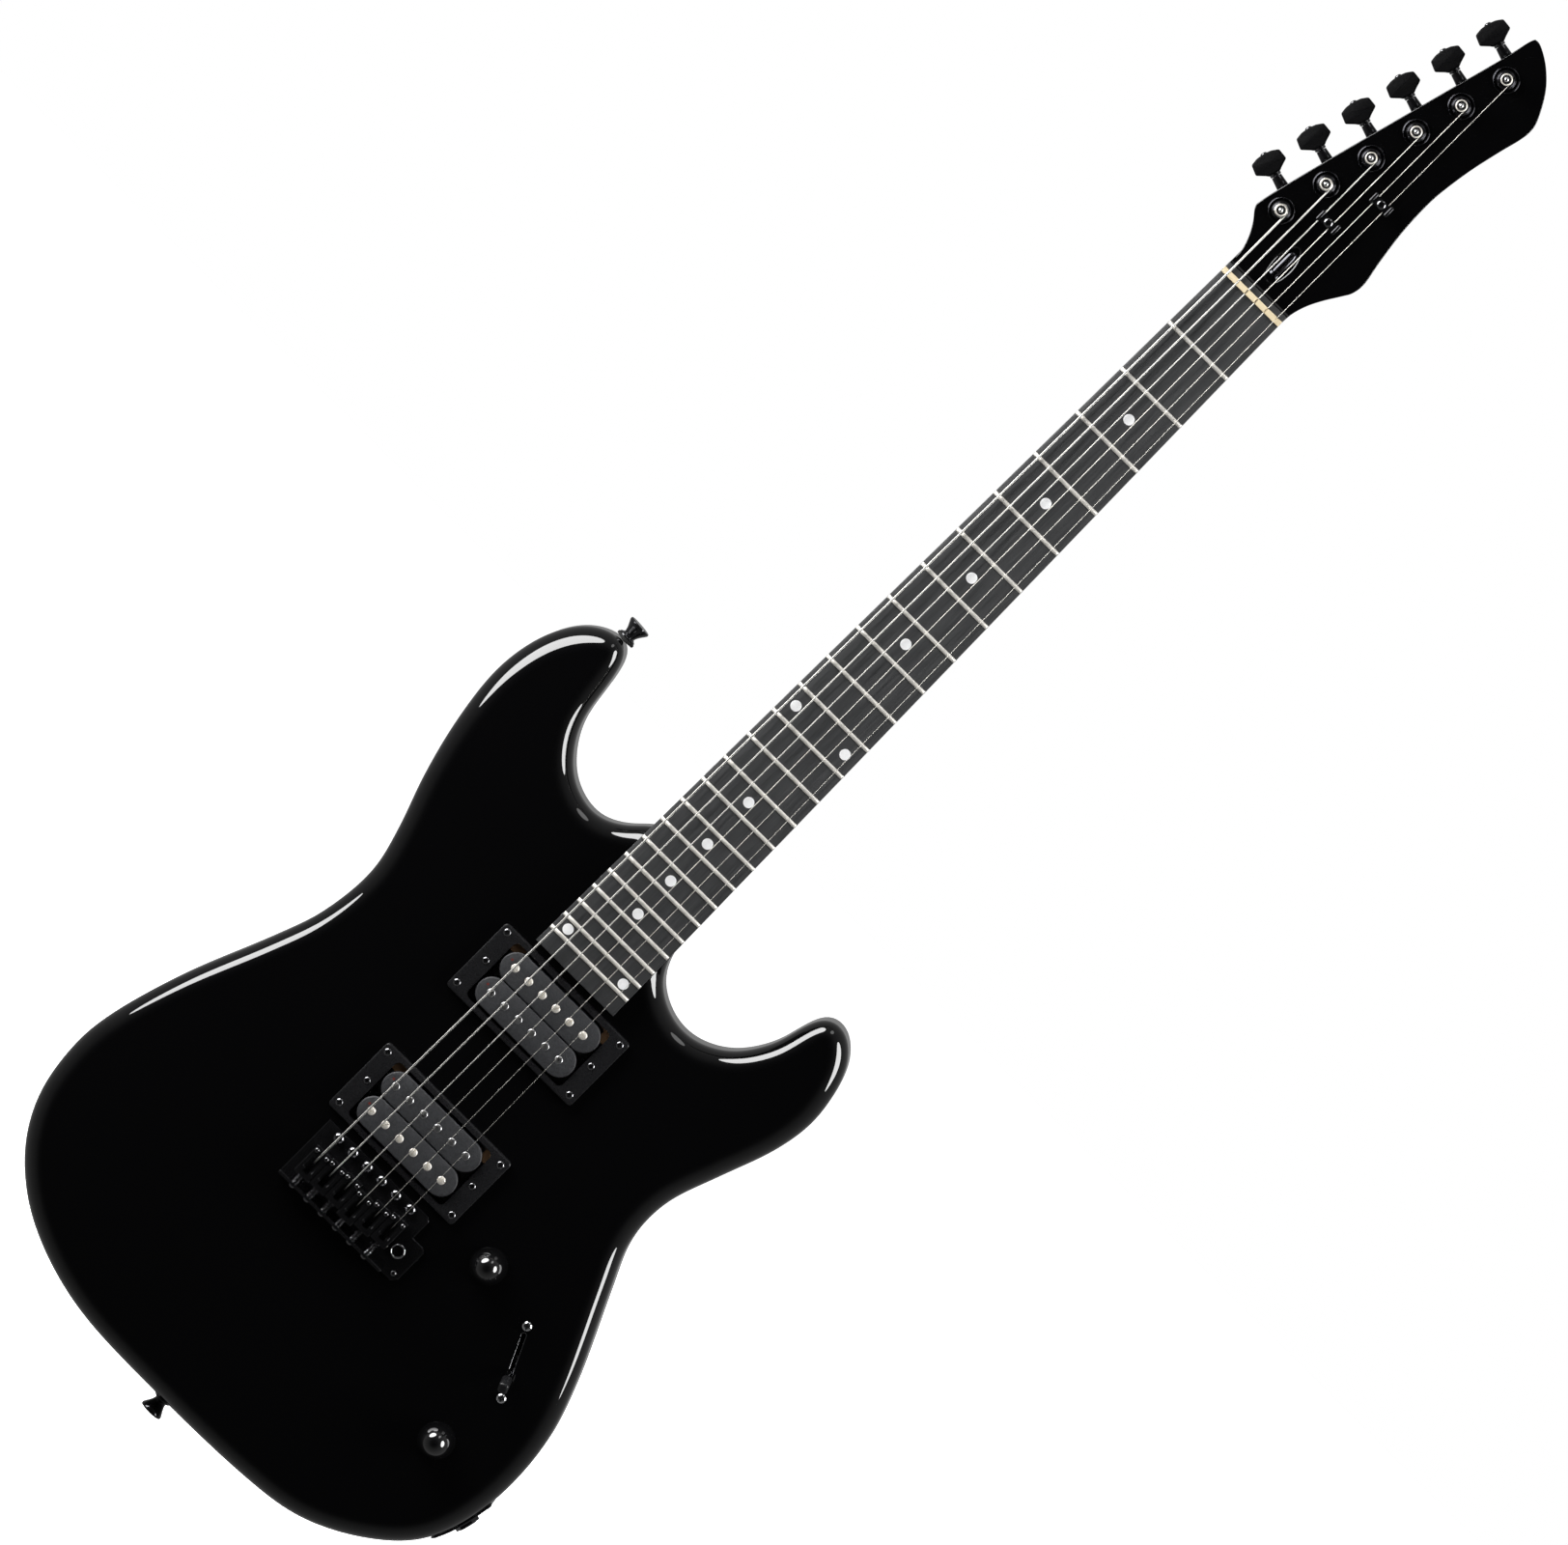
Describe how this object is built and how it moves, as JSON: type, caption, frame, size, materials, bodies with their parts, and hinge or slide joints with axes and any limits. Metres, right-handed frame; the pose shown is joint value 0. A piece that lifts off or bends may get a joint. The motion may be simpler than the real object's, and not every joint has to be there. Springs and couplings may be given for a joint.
{
  "type": "electric guitar",
  "caption": "Solid-body electric guitar with a double cutaway, a bolt-on neck, paired-coil pickups, a spring vibrato bridge and tuners in line on a pointed headstock.",
  "frame": {"origin": "on the back of the neck, behind the nut, on the neck's centreline", "axes": "+Z along the neck towards the headstock; -Y out of the front, where the strings are; +X towards the highest string"},
  "size_m": [0.3271, 0.0682, 1.0212],
  "materials": {
    "lacquer": "wood under black high-gloss lacquer",
    "dark_wood": "oiled, very dark, open fine grain",
    "bone": "polished off-white",
    "chrome": "polished",
    "steel": "plain steel",
    "black_metal": "glossy black plating",
    "black_plastic": "satin black",
    "gloss_plastic": "polished black",
    "bobbin_plastic": "satin dark grey"
  },
  "bodies": {
    "root": {"body": "lacquer", "neck": "lacquer", "fretboard": "dark_wood", "nut": "bone", "truss_rod": "chrome", "string_tree_1": "chrome", "string_tree_2": "chrome", "neck_plate": "black_metal", "jack_plate": "black_metal", "output_jack": "chrome", "strap_button_horn": "black_metal", "strap_button_tail": "black_metal", "spring_cavity_cover": "black_plastic", "control_cavity_cover": "black_plastic", "neck_pickup_ring": "black_plastic", "bridge_pickup_ring": "black_plastic", "neck_pickup": "bobbin_plastic", "bridge_pickup": "bobbin_plastic", "switch_frame": "steel", "volume_pot": "steel", "tone_pot": "steel", "spring_claw": "steel", "vibrato_spring_1": "steel", "vibrato_spring_2": "steel", "vibrato_spring_3": "steel", "tuner_housing_1": "black_metal", "tuner_housing_2": "black_metal", "tuner_housing_3": "black_metal", "tuner_housing_4": "black_metal", "tuner_housing_5": "black_metal", "tuner_housing_6": "black_metal", "string_1": "steel", "string_2": "steel", "string_3": "steel", "string_4": "steel", "string_5": "steel", "string_6": "steel"},
    "vibrato": {"bridge_plate": "black_metal", "vibrato_block": "steel"},
    "saddle_1": {"saddle_1": "black_metal"},
    "saddle_2": {"saddle_2": "black_metal"},
    "saddle_3": {"saddle_3": "black_metal"},
    "saddle_4": {"saddle_4": "black_metal"},
    "saddle_5": {"saddle_5": "black_metal"},
    "saddle_6": {"saddle_6": "black_metal"},
    "tuner_key_1": {"tuner_key_1": "black_plastic"},
    "tuner_key_2": {"tuner_key_2": "black_plastic"},
    "tuner_key_3": {"tuner_key_3": "black_plastic"},
    "tuner_key_4": {"tuner_key_4": "black_plastic"},
    "tuner_key_5": {"tuner_key_5": "black_plastic"},
    "tuner_key_6": {"tuner_key_6": "black_plastic"},
    "tuner_post_1": {"tuner_post_1": "black_metal"},
    "tuner_post_2": {"tuner_post_2": "black_metal"},
    "tuner_post_3": {"tuner_post_3": "black_metal"},
    "tuner_post_4": {"tuner_post_4": "black_metal"},
    "tuner_post_5": {"tuner_post_5": "black_metal"},
    "tuner_post_6": {"tuner_post_6": "black_metal"},
    "volume_knob": {"volume_knob": "gloss_plastic"},
    "tone_knob": {"tone_knob": "gloss_plastic"},
    "switch_lever": {"switch_lever": "black_plastic"}
  },
  "joints": [
    {"name": "vibrato_pivot", "type": "hinge", "parent": "root", "child": "vibrato", "pos_m": [0, -0.0118, -0.6414], "axis": [-1, 0, 0], "range_deg": [0, 8], "stiffness_Nm_per_rad": 10, "springref_deg": -2.86, "deforming": ["string_1", "string_2", "string_3", "string_4", "string_5", "string_6", "vibrato_spring_1", "vibrato_spring_2", "vibrato_spring_3"]},
    {"name": "saddle_1_slide", "type": "slide", "parent": "vibrato", "child": "saddle_1", "axis": [0, 0, 1], "range_m": [-0.0015, 0.0015]},
    {"name": "saddle_2_slide", "type": "slide", "parent": "vibrato", "child": "saddle_2", "axis": [0, 0, 1], "range_m": [-0.0015, 0.0015]},
    {"name": "saddle_3_slide", "type": "slide", "parent": "vibrato", "child": "saddle_3", "axis": [0, 0, 1], "range_m": [-0.0015, 0.0015]},
    {"name": "saddle_4_slide", "type": "slide", "parent": "vibrato", "child": "saddle_4", "axis": [0, 0, 1], "range_m": [-0.0015, 0.0015]},
    {"name": "saddle_5_slide", "type": "slide", "parent": "vibrato", "child": "saddle_5", "axis": [0, 0, 1], "range_m": [-0.0015, 0.0015]},
    {"name": "saddle_6_slide", "type": "slide", "parent": "vibrato", "child": "saddle_6", "axis": [0, 0, 1], "range_m": [-0.0015, 0.0015]},
    {"name": "tuner_key_1_turn", "type": "hinge", "parent": "root", "child": "tuner_key_1", "pos_m": [-0.01876, 0.0098, 0.05187], "axis": [0.9668, 0, -0.2555], "continuous": true},
    {"name": "tuner_post_1_turn", "type": "hinge", "parent": "root", "child": "tuner_post_1", "pos_m": [-0.0205, 0, 0.0453], "axis": [0, -1, 0], "continuous": true},
    {"name": "tuner_key_2_turn", "type": "hinge", "parent": "root", "child": "tuner_key_2", "pos_m": [-0.01174, 0.0098, 0.07775], "axis": [0.9668, 0, -0.2555], "continuous": true},
    {"name": "tuner_post_2_turn", "type": "hinge", "parent": "root", "child": "tuner_post_2", "pos_m": [-0.01348, 0, 0.07118], "axis": [0, -1, 0], "continuous": true},
    {"name": "tuner_key_3_turn", "type": "hinge", "parent": "root", "child": "tuner_key_3", "pos_m": [-0.00472, 0.0098, 0.10363], "axis": [0.9668, 0, -0.2555], "continuous": true},
    {"name": "tuner_post_3_turn", "type": "hinge", "parent": "root", "child": "tuner_post_3", "pos_m": [-0.00646, 0, 0.09706], "axis": [0, -1, 0], "continuous": true},
    {"name": "tuner_key_4_turn", "type": "hinge", "parent": "root", "child": "tuner_key_4", "pos_m": [0.0023, 0.0098, 0.12951], "axis": [0.9668, 0, -0.2555], "continuous": true},
    {"name": "tuner_post_4_turn", "type": "hinge", "parent": "root", "child": "tuner_post_4", "pos_m": [0.00056, 0, 0.12294], "axis": [0, -1, 0], "continuous": true},
    {"name": "tuner_key_5_turn", "type": "hinge", "parent": "root", "child": "tuner_key_5", "pos_m": [0.00932, 0.0098, 0.15539], "axis": [0.9668, 0, -0.2555], "continuous": true},
    {"name": "tuner_post_5_turn", "type": "hinge", "parent": "root", "child": "tuner_post_5", "pos_m": [0.00758, 0, 0.14882], "axis": [0, -1, 0], "continuous": true},
    {"name": "tuner_key_6_turn", "type": "hinge", "parent": "root", "child": "tuner_key_6", "pos_m": [0.01634, 0.0098, 0.18127], "axis": [0.9668, 0, -0.2555], "continuous": true},
    {"name": "tuner_post_6_turn", "type": "hinge", "parent": "root", "child": "tuner_post_6", "pos_m": [0.0146, 0, 0.1747], "axis": [0, -1, 0], "continuous": true},
    {"name": "volume_turn", "type": "hinge", "parent": "root", "child": "volume_knob", "pos_m": [0.0744, 0, -0.6363], "axis": [0, -1, 0], "range_deg": [0, 280]},
    {"name": "tone_turn", "type": "hinge", "parent": "root", "child": "tone_knob", "pos_m": [0.1194, 0, -0.721], "axis": [0, -1, 0], "range_deg": [0, 280]},
    {"name": "switch_swing", "type": "hinge", "parent": "root", "child": "switch_lever", "pos_m": [0.11935, 0.0065, -0.6633], "axis": [0.906, 0, 0.4233], "range_deg": [-46.5, 9.5]}
  ],
  "couplings": [
    {"joint": "tuner_post_1_turn", "follows": "tuner_key_1_turn", "ratio": 0.066667},
    {"joint": "tuner_post_2_turn", "follows": "tuner_key_2_turn", "ratio": 0.066667},
    {"joint": "tuner_post_3_turn", "follows": "tuner_key_3_turn", "ratio": 0.066667},
    {"joint": "tuner_post_4_turn", "follows": "tuner_key_4_turn", "ratio": 0.066667},
    {"joint": "tuner_post_5_turn", "follows": "tuner_key_5_turn", "ratio": 0.066667},
    {"joint": "tuner_post_6_turn", "follows": "tuner_key_6_turn", "ratio": 0.066667}
  ]
}
